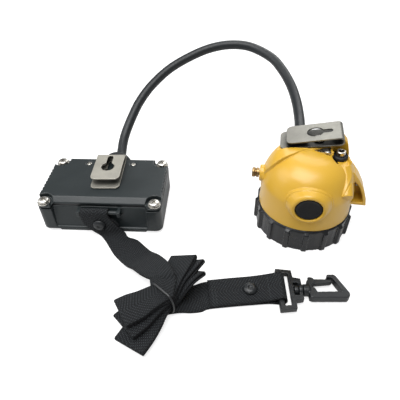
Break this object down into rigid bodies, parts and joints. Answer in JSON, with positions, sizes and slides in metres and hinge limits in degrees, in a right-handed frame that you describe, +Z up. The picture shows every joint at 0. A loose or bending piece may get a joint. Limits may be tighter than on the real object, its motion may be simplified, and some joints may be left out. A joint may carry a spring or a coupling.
{
  "type": "miner's cap lamp",
  "caption": "Miner's cap lamp with a belt battery, an arched rubber cable, a yellow head piece with a black lens ring, clips, a folded strap and a snap hook.",
  "frame": {"origin": "on the floor, under the middle of everything but the cable", "axes": "+X from the battery towards the head piece, +Y from the battery's strap side to its cable side, +Z up; the battery lies on its back and the head piece stands on its lens ring"},
  "size_m": [0.2346, 0.272, 0.0788],
  "materials": {
    "case": "charcoal, lightly textured",
    "lid": "charcoal, lightly textured",
    "shell": "yellow, moulded, glossy",
    "ring": "black, satin",
    "rubber": "black, matt",
    "webbing": "black woven webbing",
    "hook": "black, moulded, satin",
    "clip_steel": "spring steel, brushed, lightly worn",
    "fastener": "nickel plated, slightly dull",
    "brass": "plain, slightly tarnished",
    "lens_glass": "clear",
    "mirror": "vacuum-plated reflector",
    "sink": "plain",
    "board": "green circuit board",
    "cell": "shrink sleeve",
    "inner_white": "white moulding"
  },
  "bodies": {
    "lamp": {"battery_case": "case", "battery_lid": "lid", "lid_gasket": "rubber", "battery_clip": "clip_steel", "battery_gland": "rubber", "battery_clip_rivet_1": "fastener", "battery_clip_rivet_2": "fastener", "cell_1": "cell", "cell_2": "cell", "cell_link_strip": "fastener", "cell_tab_1": "fastener", "cell_tab_2": "fastener", "cell_cradle": "inner_white", "protection_board": "board", "strap_lead": "webbing", "strap_hank": "webbing", "strap_tail": "webbing", "hank_tie": "rubber", "lead_rivet_cap": "hook", "lead_rivet_socket": "hook", "tail_rivet_cap": "hook", "tail_rivet_socket": "hook", "cable": "rubber", "head_shell": "shell", "head_gland": "rubber", "reflector": "mirror", "led_board": "board", "led": "inner_white", "heat_sink": "sink", "driver_board": "board", "tact_switch": "case", "charge_post": "brass", "charge_post_nut": "brass", "contact_pin": "fastener", "head_clip": "clip_steel", "head_clip_screw": "fastener", "clip_tab": "clip_steel", "tab_screw": "fastener", "contact_bush": "rubber", "contact_tube": "fastener", "lid_screw_1": "fastener", "lid_washer_1": "fastener", "lid_screw_2": "fastener", "lid_washer_2": "fastener", "lid_screw_3": "fastener", "lid_washer_3": "fastener", "lid_screw_4": "fastener", "lid_washer_4": "fastener", "lid_stud_1": "fastener", "lid_stud_2": "fastener"},
    "lens_pack": {"lens": "lens_glass", "lens_gasket": "rubber"},
    "ring": {"lens_ring": "ring"},
    "button": {"button_cap": "rubber"},
    "hook_frame_body": {"hook_frame": "hook"},
    "snap_hook_body": {"snap_hook": "hook"},
    "gate": {"hook_gate": "hook"}
  },
  "joints": [
    {"name": "button_press", "type": "slide", "parent": "lamp", "child": "button", "axis": [0.1271, 0.9919, 0], "range_m": [0, 0.0012], "stiffness_N_per_m": 900},
    {"name": "lens_travel", "type": "slide", "parent": "lamp", "child": "lens_pack", "axis": [0, 0, -1], "range_m": [0, 0.0051]},
    {"name": "ring_turn", "type": "hinge", "parent": "lens_pack", "child": "ring", "pos_m": [0.07524, 0.03509, 0], "axis": [0, 0, -1], "range_deg": [0, 900]},
    {"name": "frame_tilt", "type": "hinge", "parent": "lamp", "child": "hook_frame_body", "pos_m": [0.05334, -0.03531, 0.004], "axis": [-0.0349, 0.9994, 0], "range_deg": [-90, 60]},
    {"name": "snap_swivel", "type": "hinge", "parent": "hook_frame_body", "child": "snap_hook_body", "pos_m": [0.05334, -0.03531, 0.004], "axis": [0.9994, 0.0349, 0], "continuous": true},
    {"name": "gate_swing", "type": "hinge", "parent": "snap_hook_body", "child": "gate", "pos_m": [0.07273, -0.02903, 0.004], "axis": [0, 0, -1], "range_deg": [0, 18], "stiffness_Nm_per_rad": 0.05}
  ],
  "couplings": [
    {"joint": "lens_travel", "follows": "ring_turn", "m_per_rad": 0.00031831}
  ]
}
